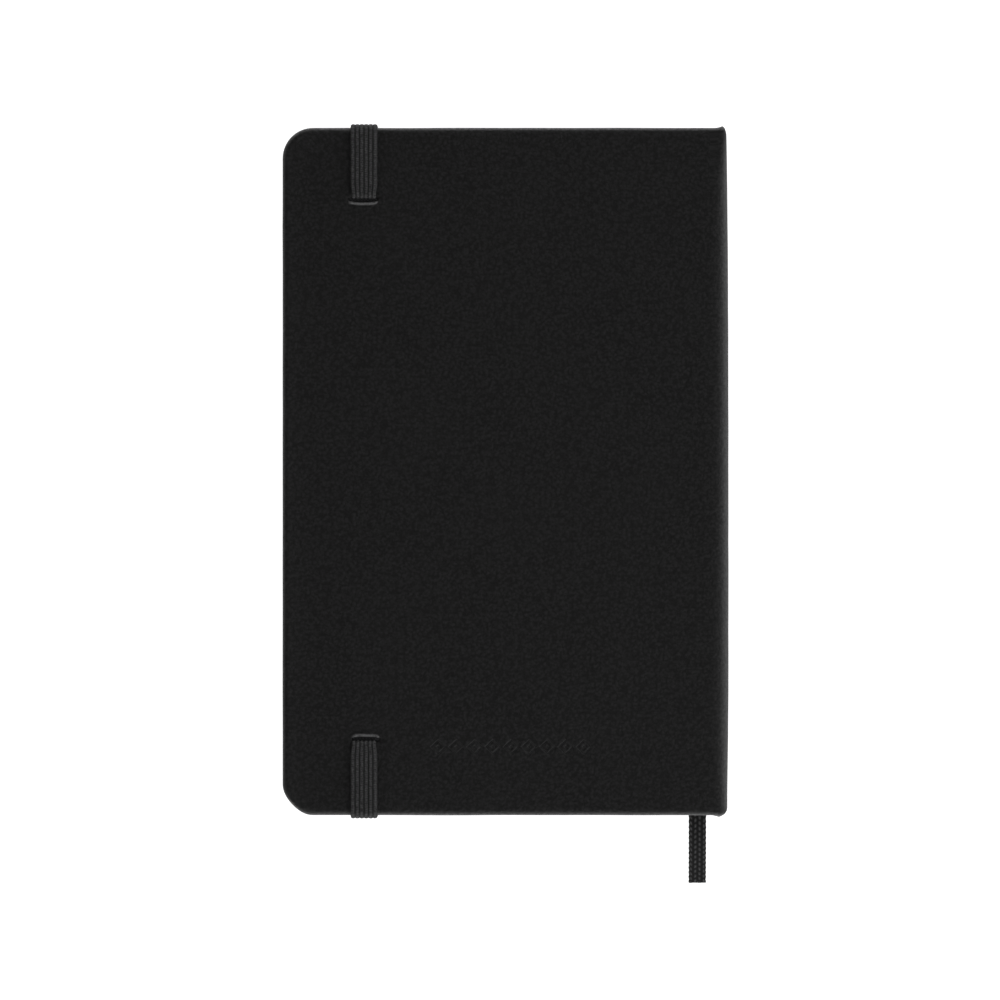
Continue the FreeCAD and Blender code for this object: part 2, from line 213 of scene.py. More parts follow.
def in_millimetres(tree, place, stretch=(1, 1, 1)):
    """A pattern's coordinates, counted in millimetres."""
    return scaled(tree, place, [1000 * k for k in stretch])


def new_material(name, roughness, specular=0.5, sheen=0.0):
    material = bpy.data.materials.new(name)
    material.use_nodes = True
    tree = material.node_tree
    shader = tree.nodes["Principled BSDF"]
    shader.inputs["Roughness"].default_value = roughness
    shader.inputs["Specular IOR Level"].default_value = specular
    shader.inputs["Sheen Weight"].default_value = sheen
    return material, tree, shader


def dress(tree, shader, colour, grain, roughness, height, depth_mm, strength):
    """Joins colour, roughness that varies with a grain, and relief to the shader."""
    rough = spread(tree, grain, 0.3, 0.7, *roughness)
    bump = node(tree, "ShaderNodeBump", {
        "Height": height, "Distance": depth_mm * MM, "Strength": strength})
    tree.links.new(colour, shader.inputs["Base Color"])
    tree.links.new(rough, shader.inputs["Roughness"])
    tree.links.new(bump.outputs["Normal"], shader.inputs["Normal"])


def sheet_place(tree):
    """The place on the piece's own flat sheet, from its UV map."""
    return node(tree, "ShaderNodeUVMap", uv_map="Sheet").outputs["UV"]


def object_place(tree):
    return node(tree, "ShaderNodeTexCoord").outputs["Object"]


def stored(tree, attribute):
    """A number that the mesh carries, such as its yarns' height, or its edges' wear and painted
    highlight.
    """
    return node(tree, "ShaderNodeAttribute", attribute_name=attribute).outputs["Fac"]


def grey(level):
    return level, level, level


# ---------------------------------------------------------------- materials

def stamped_row(tree, place):
    """1 where the row of outlined lozenges is pressed into the sheet, in millimetres."""
    parts = node(tree, "ShaderNodeSeparateXYZ", {0: place}).outputs
    across = maths(tree, "SUBTRACT", parts["X"], ORNAMENT[0] / MM)
    up = maths(tree, "ABSOLUTE", maths(tree, "SUBTRACT", parts["Y"], ORNAMENT[1] / MM))
    pitch = LOZENGE_PITCH / MM
    steepness = 0.5 * LOZENGE_PITCH / ORNAMENT_HALF[1]
    turns = maths(tree, "ADD", maths(tree, "DIVIDE", across, pitch), LOZENGES / 2 + 0.5)
    inside = maths(tree, "MULTIPLY", maths(tree, "PINGPONG", turns, 0.5), pitch)
    size = maths(tree, "ADD", inside, maths(tree, "MULTIPLY", up, steepness))
    off_line = maths(tree, "ABSOLUTE", maths(tree, "SUBTRACT", size, 0.39 * pitch))
    outline = spread(tree, off_line, 0.27, 0.20)
    centre = spread(tree, size, 0.46, 0.38)
    in_row = maths(tree, "MULTIPLY",
                   maths(tree, "LESS_THAN", maths(tree, "ABSOLUTE", across), ORNAMENT_HALF[0] / MM),
                   maths(tree, "LESS_THAN", up, ORNAMENT_HALF[1] / MM))
    return maths(tree, "MULTIPLY", in_row, maths(tree, "MAXIMUM", outline, centre))


def leatherette():
    """Black fine-grained covering sheet: shallow pebbles between finer creases."""
    material, tree, shader = new_material("black_leatherette", 0.5, specular=0.22)
    place = in_millimetres(tree, sheet_place(tree))
    warp = node(tree, "ShaderNodeTexNoise", {"Vector": place, "Scale": 0.7, "Detail": 1.0})
    warped = node(tree, "ShaderNodeMix", {
        "Factor": 0.35, 4: place, 5: warp.outputs["Color"]}, data_type="VECTOR").outputs[1]
    pebble = node(tree, "ShaderNodeTexVoronoi", {
        "Vector": warped, "Scale": 1.9, "Smoothness": 0.4}, feature="SMOOTH_F1").outputs["Distance"]
    fine = noise_at(tree, place, 2.0, 3.0, 0.6)
    patches = noise_at(tree, place, 0.05, 2.0)
    swell = spread(tree, pebble, 0.75, 0.15)
    height = maths(tree, "ADD", maths(tree, "MULTIPLY", swell, 0.3), fine)
    stamped = stamped_row(tree, place)
    smoothed = maths(tree, "SUBTRACT", 1.0, maths(tree, "MULTIPLY", stamped, 0.5))
    relief = maths(tree, "SUBTRACT", maths(tree, "MULTIPLY", height, smoothed),
                   maths(tree, "MULTIPLY", stamped, 0.75))
    grain = spread(tree, height, 0.50, 0.82)
    scuffs = spread(tree, noise_at(tree, place, 1.3, 3.0, 0.7), 0.35, 0.65, 0.25, 1.0)
    # Pale rub at the edges, mottled by scuffs, with painted highlight at the edges, the spine's
    # shoulder, the joint and the slits' lips; the stamped row is mixed a little paler too.
    wear_and_highlight = maths(tree, "ADD", maths(tree, "MULTIPLY", stored(tree, "edge_wear_and_highlight"), scuffs),
                 maths(tree, "MULTIPLY", stamped, 0.05))
    dark = mix_colour(tree, spread(tree, patches, 0.3, 0.7), grey(0.0022), grey(0.0034))
    # Creases between the pebbles are painted darker and the pebbles' tops paler, as painted shade
    # and light on the grain, over random dark patches of tone.
    colour = mix_colour(tree, grain, dark, (0.0108, 0.0108, 0.0110))
    colour = mix_colour(tree, wear_and_highlight, colour, (0.13, 0.13, 0.132))
    dress(tree, shader, colour, fine, (0.46, 0.60), relief, 0.12, 1.0)
    return material


def elastic():
    """Black ribbed elastic: cords along it, bound by fine crosswise yarns, with painted light on
    the crowns and painted shade in the grooves.
    """
    material, tree, shader = new_material("black_elastic", 0.7, specular=0.25, sheen=0.03)
    strap = sheet_place(tree)
    place = in_millimetres(tree, strap)
    parts = node(tree, "ShaderNodeSeparateXYZ", {0: place})
    rib = maths(tree, "MULTIPLY", parts.outputs["X"], 0.001 * RIBS / (2 * BAND_HALF))
    beat = maths(tree, "MULTIPLY", maths(tree, "FLOOR", rib), 2.1)
    along = maths(tree, "MULTIPLY", parts.outputs["Y"], 2 * math.pi / 0.47)
    knit = maths(tree, "SINE", maths(tree, "ADD", along, beat))
    fibre = noise_at(tree, in_millimetres(tree, strap, (3.0, 1.6, 1.0)), 2.0, 3.0, 0.65)
    blobs = noise_at(tree, in_millimetres(tree, strap, (1.2, 0.9, 1.0)), 1.5, 2.0, 0.6)
    height = maths(tree, "ADD", maths(tree, "MULTIPLY", knit, 0.10), fibre)
    uneven = spread(tree, blobs, 0.3, 0.7, -0.5, 0.5)
    lit = maths(tree, "ADD", height, maths(tree, "MULTIPLY", uneven, 0.5))
    # The knit's high points are painted lighter and its low points darker, as painted light and
    # shade, blotched with random tone.
    lit_crown = mix_colour(tree, spread(tree, lit, 0.2, 0.85), (0.005, 0.005, 0.0052),
                       (0.055, 0.055, 0.0565))
    # The grooves between the ribs are painted near black, as painted shade.
    raised = spread(tree, stored(tree, "yarn_height"), 0.3, 0.95)
    colour = mix_colour(tree, raised, (0.0018, 0.0018, 0.0019), lit_crown)
    dress(tree, shader, colour, fibre, (0.62, 0.8), height, 0.10, 0.9)
    return material


def braid():
    """Black braided ribbon yarn, with a painted shine on the crowns of its stitches and painted
    shade between them.
    """
    material, tree, shader = new_material("black_braid", 0.7, specular=0.10)
    place = in_millimetres(tree, sheet_place(tree))
    fibre = noise_at(tree, place, 5.0, 3.0, 0.7)
    wisps = noise_at(tree, scaled(tree, place, (6.0, 0.9, 1.0)), 1.6, 2.0)
    height = maths(tree, "ADD", fibre, wisps)
    # A painted shine on the stitches' crowns, streaked by the wisps.
    lit_crown = mix_colour(tree, spread(tree, wisps, 0.35, 0.7), (0.022, 0.022, 0.0227),
                       (0.080, 0.080, 0.082))
    # The gaps between the stitches are painted near black, as painted shade.
    raised = spread(tree, stored(tree, "yarn_height"), 0.4, 1.0)
    colour = mix_colour(tree, raised, (0.0045, 0.0045, 0.0046), lit_crown)
    dress(tree, shader, colour, fibre, (0.62, 0.78), height, 0.04, 0.7)
    return material


def paper(name, light, dark, ruled=False):
    """Uncoated ivory paper: faint fibres, streaked cut edges and, on pages, thin ruled lines."""
    material, tree, shader = new_material(name, 0.85, specular=0.25, sheen=0.05)
    place = object_place(tree)
    fibres = noise_at(tree, in_millimetres(tree, place, (0.9, 0.5, 0.9)), 2.2, 4.0, 0.65)
    cloud = noise_at(tree, in_millimetres(tree, place), 0.05, 2.0)
    streaks = noise_at(tree, in_millimetres(tree, place, (0.05, 0.05, 6.0)), 1.0, 2.0, 0.7)
    edge = stored(tree, "cut_edge")
    colour = mix_colour(tree, spread(tree, cloud, 0.3, 0.7), dark, light)
    colour = mix_colour(tree, maths(tree, "MULTIPLY", spread(tree, fibres, 0.45, 0.8), 0.25),
                        colour, [0.86 * k for k in dark])
    streaked = mix_colour(tree, spread(tree, streaks, 0.35, 0.7), [0.66 * k for k in dark], light)
    colour = mix_colour(tree, edge, colour, streaked)
    if ruled:
        down = node(tree, "ShaderNodeSeparateXYZ", {0: in_millimetres(tree, place)}).outputs["Y"]
        wave = maths(tree, "PINGPONG", maths(tree, "ADD", down, 1.5), 3.0)
        line = maths(tree, "LESS_THAN", wave, 0.075)
        margin = maths(tree, "LESS_THAN", maths(tree, "ABSOLUTE", down), 58.0)
        flat = maths(tree, "SUBTRACT", 1.0, edge)
        share = maths(tree, "MULTIPLY", maths(tree, "MULTIPLY", line, margin),
                      maths(tree, "MULTIPLY", flat, 0.55))
        colour = mix_colour(tree, share, colour, (0.30, 0.30, 0.31))
    dress(tree, shader, colour, fibres, (0.78, 0.92), fibres, 0.015, 0.6)
    return material


def woven(name, light, dark, pitch_mm, roughness=0.8):
    """Plain-woven cloth, over and under at the given pitch."""
    material, tree, shader = new_material(name, roughness, specular=0.3, sheen=0.15)
    place = in_millimetres(tree, object_place(tree))
    parts = node(tree, "ShaderNodeSeparateXYZ", {0: place})
    turn = math.pi / pitch_mm
    upright = maths(tree, "ADD", parts.outputs["X"], parts.outputs["Z"])
    warp = maths(tree, "SINE", maths(tree, "MULTIPLY", upright, turn))
    weft = maths(tree, "SINE", maths(tree, "MULTIPLY", parts.outputs["Y"], turn))
    weave = maths(tree, "MULTIPLY", warp, weft)
    fuzz = noise_at(tree, place, 4.0, 3.0, 0.7)
    height = maths(tree, "ADD", weave, fuzz)
    colour = mix_colour(tree, spread(tree, height, -0.6, 1.6), dark, light)
    dress(tree, shader, colour, fuzz, (roughness - 0.08, roughness + 0.08), height, 0.05, 0.8)
    return material


def pressed_board():
    """Grey-brown pressed card, flecked with fibres."""
    material, tree, shader = new_material("pressed_board", 0.9, specular=0.2)
    place = in_millimetres(tree, object_place(tree))
    fleck = noise_at(tree, place, 1.8, 5.0, 0.7)
    layers = noise_at(tree, scaled(tree, place, (0.1, 0.1, 7.0)), 1.0, 2.0)
    colour = mix_colour(tree, spread(tree, fleck, 0.35, 0.7), (0.20, 0.175, 0.14),
                        (0.36, 0.33, 0.28))
    colour = mix_colour(tree, maths(tree, "MULTIPLY", spread(tree, layers, 0.4, 0.7), 0.4),
                        colour, (0.14, 0.12, 0.10))
    dress(tree, shader, colour, fleck, (0.82, 0.95), fleck, 0.05, 0.7)
    return material


def waxed_thread():
    """Off-white sewing thread, twisted."""
    material, tree, shader = new_material("waxed_thread", 0.55, specular=0.4, sheen=0.1)
    place = in_millimetres(tree, object_place(tree))
    parts = node(tree, "ShaderNodeSeparateXYZ", {0: place})
    twist = maths(tree, "ADD", maths(tree, "MULTIPLY", parts.outputs["Z"], 14.0),
                  maths(tree, "MULTIPLY", parts.outputs["Y"], 18.0))
    ply = maths(tree, "SINE", twist)
    fuzz = noise_at(tree, place, 6.0, 2.0)
    colour = mix_colour(tree, spread(tree, ply, -1.0, 1.0), (0.50, 0.46, 0.38), (0.80, 0.77, 0.69))
    dress(tree, shader, colour, fuzz, (0.48, 0.64), ply, 0.04, 0.7)
    return material


finishes = {
    "cover_leatherette": leatherette(),
    "elastic": elastic(),
    "ribbon": braid(),
    "endpaper": paper("ivory_endpaper", (0.78, 0.735, 0.61), (0.74, 0.69, 0.565)),
    "page_paper": paper("ivory_page", (0.84, 0.80, 0.68), (0.80, 0.755, 0.635), ruled=True),
    "pocket_card": paper("ivory_card", (0.82, 0.775, 0.65), (0.79, 0.745, 0.62)),
    "black_cloth": woven("black_cloth", (0.030, 0.030, 0.032), (0.007, 0.007, 0.0075), 0.32),
    "mull_cloth": woven("mull_cloth", (0.68, 0.65, 0.57), (0.38, 0.35, 0.29), 0.8),
    "board": pressed_board(),
    "thread": waxed_thread(),
}


# ---------------------------------------------------------------- mesh helpers

def add_object(name, data):
    """An object in the scene, holding a mesh, a curve, a lamp or a camera."""
    made = bpy.data.objects.new(name, data)
    bpy.context.scene.collection.objects.link(made)
    return made


def new_piece(name, points, faces, finish, sheet=None, heights=None, wear_and_highlight=None):
    """A mesh piece. Each point may have its place on the flat sheet, yarn height, and edge wear
    with painted highlight.
    """
    mesh = bpy.data.meshes.new(name)
    mesh.from_pydata([tuple(p) for p in points], [], faces)
    mesh.validate()
    if sheet is not None:
        layer = mesh.uv_layers.new(name="Sheet")
        corners = np.zeros(len(mesh.loops), int)
        mesh.loops.foreach_get("vertex_index", corners)
        layer.data.foreach_set("uv", np.array(sheet, float)[corners].ravel())
    if heights is not None:
        mesh.attributes.new("yarn_height", "FLOAT", "POINT").data.foreach_set("value", heights)
    if wear_and_highlight is not None:
        mesh.attributes.new("edge_wear_and_highlight", "FLOAT", "POINT").data.foreach_set("value", wear_and_highlight)
    mesh.materials.append(finishes[finish])
    mesh.polygons.foreach_set("use_smooth", [True] * len(mesh.polygons))
    return add_object(name, mesh)


def tidy_mesh(piece, merge):
    """Closes seams, drops flattened faces and points the rest outwards."""
    made = bmesh.new()
    made.from_mesh(piece.data)
    bmesh.ops.remove_doubles(made, verts=made.verts, dist=merge)
    bmesh.ops.dissolve_degenerate(made, edges=made.edges, dist=merge / 2)
    bmesh.ops.recalc_face_normals(made, faces=made.faces)
    made.to_mesh(piece.data)
    made.free()
    return piece


def mark_cut_edges(mesh):
    """Marks the narrow faces round a sheet of paper, where its cut edge shows."""
    marks = [1.0 if abs(face.normal.z) < 0.3 else 0.0 for face in mesh.polygons]
    mesh.attributes.new("cut_edge", "FLOAT", "FACE").data.foreach_set("value", marks)


def apply_modifiers(piece):
    """Turns a piece's modifiers into its mesh."""
    seen = piece.evaluated_get(bpy.context.evaluated_depsgraph_get())
    mesh = bpy.data.meshes.new_from_object(seen)
    piece.modifiers.clear()
    piece.data = mesh
    return piece


def thicken(piece, thickness, offset=-1):
    """Gives a sheet its wall: behind its face, or for an offset of 0 on both sides of it."""
    wall = piece.modifiers.new("wall", "SOLIDIFY")
    wall.thickness = thickness
    wall.offset = offset
    return apply_modifiers(piece)


def grid_faces(rows, wide):
    """Quads over points laid in rows of the given width."""
    return [(a, a + wide, a + wide + 1, a + 1)
            for row in range(rows - 1) for a in range(row * wide, row * wide + wide - 1)]


def grid_piece(name, rows, finish, smooth=True):
    """A sheet over rows of points."""
    points = [point for row in rows for point in row]
    piece = new_piece(name, points, grid_faces(len(rows), len(rows[0])), finish)
    piece.data.polygons.foreach_set("use_smooth", [smooth] * len(piece.data.polygons))
    return piece


def ring_faces(rings, count):
    """Quads between closed rings of points, and a face over each end."""
    faces = []
    for low in range(0, (rings - 1) * count, count):
        for k in range(count):
            n = (k + 1) % count
            faces.append((low + k, low + count + k, low + count + n, low + n))
    last = (rings - 1) * count
    faces.append(tuple(range(count)))
    faces.append(tuple(reversed(range(last, last + count))))
    return faces


def outward(piece, toward):
    """Turns the whole surface over if the face nearest the given point looks away from it."""
    mesh = piece.data
    near = min(mesh.polygons, key=lambda p: (p.center - Vector(toward)).length)
    if near.normal.dot(Vector(toward) - near.center) < 0:
        mesh.flip_normals()
    return piece


def finish_piece(piece, finish, *nodes):
    if nodes:
        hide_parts(*nodes)
    return piece


def stations(start, end, step, dense=(), fine=None):
    """Places from start to end, closer together inside the dense stretches."""
    stops = sorted({start, end} | {p for stretch in dense for p in stretch if start < p < end})
    places = [start]
    for low, high in zip(stops, stops[1:]):
        middle = (low + high) / 2
        inside = fine and any(a <= middle <= b for a, b in dense)
        count = max(1, math.ceil((high - low) / (fine if inside else step) - 1e-6))
        places += [low + (high - low) * k / count for k in range(1, count + 1)]
    return places


def ease(x):
    x = min(1.0, max(0.0, x))
    return x * x * (3 - 2 * x)


# ---------------------------------------------------------------- the leatherette case

def edge_profile(thick, turned=CORNER):
    """(inset, depth) from the end of the turn-in, round the cover's edge, to the outer face."""
    across, down = OUTER_ROUND[0], min(OUTER_ROUND[1], 0.45 * thick)
    inner = min(INNER_ROUND, 0.4 * thick)
    quarter = [k * math.pi / 2 / ROUND_STEPS for k in range(ROUND_STEPS + 1)]
    under = [(min(inset, turned), thick) for inset in reversed(RING_INSETS)]
    turn = [(inner * (1 - math.sin(a)), thick - inner + inner * math.cos(a)) for a in quarter]
    top = [(across * (1 - math.cos(a)), down * (1 - math.sin(a))) for a in quarter]
    return under + turn + top + [(inset, 0.0) for inset in RING_INSETS]


def bar(place, middle, half, soft):
    """1 inside a band about the middle, falling to 0 over a soft edge."""
    return 1 - ease((abs(place - middle) - half + soft / 2) / soft)


def ornament_depth(x, y):
    """A plain row of outlined lozenges, pressed in without colour."""
    across, up = x - ORNAMENT[0], y - ORNAMENT[1]
    if abs(across) > ORNAMENT_HALF[0] or abs(up) > ORNAMENT_HALF[1]:
        return 0.0
    inside = (across / LOZENGE_PITCH + LOZENGES / 2) % 1.0 - 0.5
    size = LOZENGE_PITCH * (abs(inside) + abs(up) * 0.5 / ORNAMENT_HALF[1])
    outline = bar(size, 0.39 * LOZENGE_PITCH, 0.26 * MM, 0.3 * MM)
    centre = bar(size, 0.0, 0.45 * MM, 0.3 * MM)
    return STAMP_DEPTH * max(outline, centre)


def slit_relief(x, y):
    """Height round the two slits: dipped at the gap, with a lip on the cover's middle side."""
    side = 1 if y > 0 else -1
    offset = x - SLIT_MIDDLES[side]
    across = abs(offset) / SLIT_HALVES[side]
    if across > 1.3:
        return 0.0
    inwards = abs(SLIT_PLACES[side]) - abs(y)
    ends = 1 - ease((across - 0.9) / 0.22)
    roundness = 2.2 if side > 0 and offset < 0 else 4
    lip_line = 0.72 * MM * math.sqrt(max(0.0, 1 - (across / 1.1) ** roundness))
    lip = math.exp(-((inwards - lip_line) / (0.27 * MM)) ** 2)
    gap = math.exp(-(inwards / (0.36 * MM)) ** 2)
    return LIP_HEIGHT * ends * (lip - gap)


def sag(x, y):
    """Slight unevenness of the glued sheet over its board."""
    wide = noise.noise(Vector((x / 0.030, y / 0.034, 3.1)))
    close = noise.noise(Vector((x / 0.009, y / 0.009, 7.7)))
    return 0.030 * MM * wide + 0.008 * MM * close


def relief(x, y, up):
    """Height of the outer face: the slits and the stamped row are on the back cover alone."""
    if up > 0:
        return sag(x, y) + slit_relief(x, y) - ornament_depth(x, y)
    return sag(x + FRONT_LAID, y)


def edge_wobble(along, seed):
    return 0.045 * MM * noise.noise(Vector((along / 0.011, seed, 0.4)))


def cap(side, x, up):
    """How far the covering stands out at the spine's head or tail, in metres."""
    shape = CAP_SHAPES[side]
    place = x / MM
    if place <= shape[0][0]:
        return 0.0
    for (x0, c0), (x1, c1) in zip(shape, shape[1:]):
        if place <= x1:
            return MM * (c0 + (c1 - c0) * (place - x0) / (x1 - x0))
    return MM * (shape[-1][1] + (SPINE_END - shape[-1][1]) * ease(up))


def bow(y):
    """The spine is drawn in a little near its ends, and its glued face is slightly uneven."""
    drawn = 0.47 * MM * math.exp(-max(0.0, HALF - y) / (20 * MM)) + 0.25 * MM * math.exp(
        -(max(0.0, HALF + y) / (15 * MM)) ** 2)
    return -drawn + 0.035 * MM * (noise.noise(Vector((y / 0.006, 2.2, 0.0))) - 0.5)


def cover_columns(outer_face, up, stops=()):
    """Columns (x, z, normal, thickness) over the flat of a cover and its joint."""
    places = stations(FORE + CORNER, BOARD_JOINT, 2.0 * MM, [stops] if stops else ())
    columns = [(x, outer_face, (0.0, up), COVER_THICK) for x in places]
    for k in range(1, 8):
        x = BOARD_JOINT + (SHOULDER_START - BOARD_JOINT) * k / 8
        columns.append((x, outer_face, (0.0, up), COVER_THICK * (1 - 0.3 * ease(k / 8))))
    return columns


def spine_columns():
    """Columns over the whole spine, from the back cover's shoulder to the front cover's."""
    columns = []
    wide = SPINE_FACE - SHOULDER_START
    for face, up, angles in ((BACK_FACE, 1, range(90, -1, -5)), (FRONT_FACE, -1, range(0, 91, 9))):
        if up < 0:
            high, low = BACK_FACE - SHOULDER, FRONT_FACE + SHOULDER
            for k in range(1, 8):
                columns.append((SPINE_FACE, high + (low - high) * k / 8, (1.0, 0.0), SPINE_THICK))
        for angle in angles:
            cosine, sine = math.cos(math.radians(angle)), math.sin(math.radians(angle))
            reach, lift = cosine ** (2 / SHOULDER_POWER), sine ** (2 / SHOULDER_POWER)
            steep = reach ** (SHOULDER_POWER - 1) / wide
            flat = lift ** (SHOULDER_POWER - 1) / SHOULDER
            size = math.hypot(steep, flat)
            x = SHOULDER_START + wide * reach
            z = face - up * SHOULDER * (1 - lift)
            thick = SPINE_THICK + (0.7 * COVER_THICK - SPINE_THICK) * ease(angle / 90)
            columns.append((x, z, (steep / size, up * flat / size), thick))
    return columns


def rub_and_highlight_at(inset, depth, thick=COVER_THICK):
    """How pale a cover's edge is made, as rub and as painted rim highlight, strongest where it
    turns down.
    """
    if depth <= 0 or depth > 0.6 * thick:
        return 0.0
    return max(0.0, 1 - inset / (0.55 * MM))


def painted_edge_highlight(inset, depth):
    """A faint painted highlight that pales the outer face towards a cover's edge."""
    return 0.05 * (1 - inset / CORNER) ** 2 if depth == 0 else 0.0


def shoulder_pull(x, y):
    """The shoulder is tighter towards the spine's ends, where the covering is turned in."""
    span = SPINE_FACE - BOARD_JOINT
    share = (x - BOARD_JOINT) / span
    if not 0 < share < 1:
        return 0.0
    near_head = math.exp(-((HALF - y) / (9 * MM)) ** 2)
    near_tail = 0.4 * math.exp(-((HALF + y) / (7 * MM)) ** 2)
    return span * (share ** 0.35 - share) * max(near_head, near_tail)


class CaseSheet:
    """The covering sheet of one cover while it is built: points, flat places, wear with painted
    highlight, and faces.
    """

    def __init__(self, up, outer_face):
        self.up = up
        self.face = outer_face
        self.laid = 0.0 if up > 0 else FRONT_LAID
        self.points, self.flat, self.worn, self.faces = [], [], [], []

    def add(self, x, y, z, u, v, wear_and_highlight):
        self.points.append((x, y, z))
        self.flat.append((self.laid + u, v))
        self.worn.append(wear_and_highlight)
        return len(self.points) - 1

    def join(self, strips):
        for first, second in zip(strips, strips[1:]):
            self.faces += zip(first, second, second[1:], first[1:])


def column_ends(side, u, at_end, down, edge):
    """(y, depth) round a column's end at the head or the tail, from the outer face inwards."""
    beyond = OVERHANG[side] + edge_wobble(u, side) + cap(side, at_end, down)
    return [(side * (HALF + beyond * (1 - inset / CORNER) - inset), depth) for inset, depth in edge]


def lay_columns(sheet, columns, rows):
    """Lays the strips that run from tail to head, over the flat, the joint and the spine."""
    along, last, strips = 0.0, None, []
    for x, z, normal, thick in columns:
        along += 0.0 if last is None else math.dist(last, (x, z))
        last = (x, z)
        u = FORE + CORNER + along
        upper = z > MIDDLE
        edge = edge_profile(thick, JOINT_TURN if x > BOARD_JOINT - 3 * MM else CORNER)
        on_spine = max(0.0, normal[0])
        down = (sheet.face - z) * sheet.up / SHOULDER - 0.8
        at_ends = {side: x + on_spine * bow(side * HALF) + upper * shoulder_pull(x, side * HALF)
                   for side in (-1, 1)}
        tail, head = (column_ends(side, u, at_ends[side], down, edge) for side in (-1, 1))
        strip = []
        for y, depth in tail + [(y, 0.0) for y in rows] + head[::-1]:
            px = x - normal[0] * depth + bow(y) * on_spine + upper * shoulder_pull(x, y)
            beyond = depth if abs(y) > HALF - CORNER else 0.0
            under = 2 * (HALF - abs(y)) if depth >= thick * 0.99 else 0.0
            v = math.copysign(abs(y) + beyond + under, y)
            side = 1 if y > 0 else -1
            rub_and_highlight = rub_and_highlight_at(HALF + OVERHANG[side] - abs(y), depth, thick)
            # The head's edge is painted paler still, as highlight.
            if side > 0:
                rub_and_highlight *= HEAD_EDGE_HIGHLIGHT
            # On the outer face, the spine's shoulder and the joint are painted pale, as highlight.
            if depth == 0 and upper:
                rub_and_highlight = (SPINE_HIGHLIGHT * ease((on_spine - 0.10) / 0.65)
                          + JOINT_HIGHLIGHT * ease((x - 41 * MM) / (3 * MM)))
            strip.append(sheet.add(px, y, z - normal[1] * depth, u, v, rub_and_highlight))
        strips.append(strip)
    sheet.join(strips)


def lay_fore_edge(sheet, rows, edge):
    strips = []
    for y in [CORNER - HALF] + list(rows) + [HALF - CORNER]:
        strip = []
        for inset, depth in edge:
            wobble = edge_wobble(y, 5) * (1 - inset / CORNER) * bar(y, 0, HALF - 2 * CORNER, CORNER)
            under = 2 * inset if depth >= COVER_THICK * 0.99 else 0.0
            # The fore edge is painted pale, as rub and highlight.
            strip.append(sheet.add(FORE + inset - wobble, y, sheet.face - sheet.up * depth,
                                   FORE + inset - depth - under, y,
                                   0.5 * rub_and_highlight_at(inset, depth) + painted_edge_highlight(inset, depth)))
        strips.append(strip)
    sheet.join(strips)


def lay_corner(sheet, side, edge):
    """A round fore-edge corner, its turn-in pleated; the back cover's tail corner is flatter."""
    strips = []
    for k in range(CORNER_STEPS + 1):
        angle = math.pi / 2 * k / CORNER_STEPS
        cosine, sine = math.cos(angle), math.sin(angle)
        wobble = edge_wobble(FORE + CORNER, side) * sine ** 8
        stretch = 1 + (wobble + OVERHANG[side]) / CORNER
        strip = []
        for inset, depth in edge:
            reach = CORNER - inset
            if sheet.up > 0 and side < 0:
                reach *= 1 - 0.055 * math.sin(2 * angle) ** 2
            pleat = 0.0
            if depth >= COVER_THICK * 0.99:
                pleat = 0.07 * MM * math.sin(angle * 18) ** 2 * min(1.0, reach / (2 * MM))
            x = FORE + CORNER - reach * cosine
            y = side * (HALF - CORNER + reach * stretch * sine)
            # Rub and painted highlight round the corner's edge.
            wear_and_highlight = rub_and_highlight_at(inset, depth) * (0.5 + 0.5 * sine) + painted_edge_highlight(inset, depth)
            strip.append(sheet.add(x, y, sheet.face - sheet.up * (depth + pleat),
                                   x - depth * cosine, y + side * depth * sine, wear_and_highlight))
        strips.append(strip)
    sheet.join(strips)


def press_relief(piece, up, outer_face):
    """Moves the outer face's points by its relief, and paints a highlight on the tops of the slits'
    lips.
    """
    worn = piece.data.attributes["edge_wear_and_highlight"].data
    for vertex in piece.data.vertices:
        x, y, z = vertex.co
        if abs(z - outer_face) < 0.01 * MM and x < BOARD_JOINT:
            vertex.co.z += up * relief(x, y, up) * ease((BOARD_JOINT - x) / (6 * MM))
            # The tops of the slits' lips are painted pale, as highlight.
            if up > 0 and slit_relief(x, y) > LIP_HEIGHT / 4:
                worn[vertex.index].value = min(1.0, slit_relief(x, y) / LIP_HEIGHT)


def build_case_sheet(name, columns, rows, up, outer_face):
    """The covering sheet: a grid over the columns, a fore-edge strip and two round corners."""
    sheet = CaseSheet(up, outer_face)
    edge = edge_profile(COVER_THICK)
    lay_columns(sheet, columns, rows)
    lay_fore_edge(sheet, rows, edge)
    for side in (-1, 1):
        lay_corner(sheet, side, edge)
    piece = new_piece(name, sheet.points, sheet.faces, "cover_leatherette", sheet.flat,
                      wear_and_highlight=sheet.worn)
    tidy_mesh(piece, 4e-6)
    if up > 0:
        divide_finely(piece, outer_face)
    press_relief(piece, up, outer_face)
    outward(piece, (0, 0, outer_face + up * 0.05))
    thicken(piece, WRAP_WALL)
    return piece


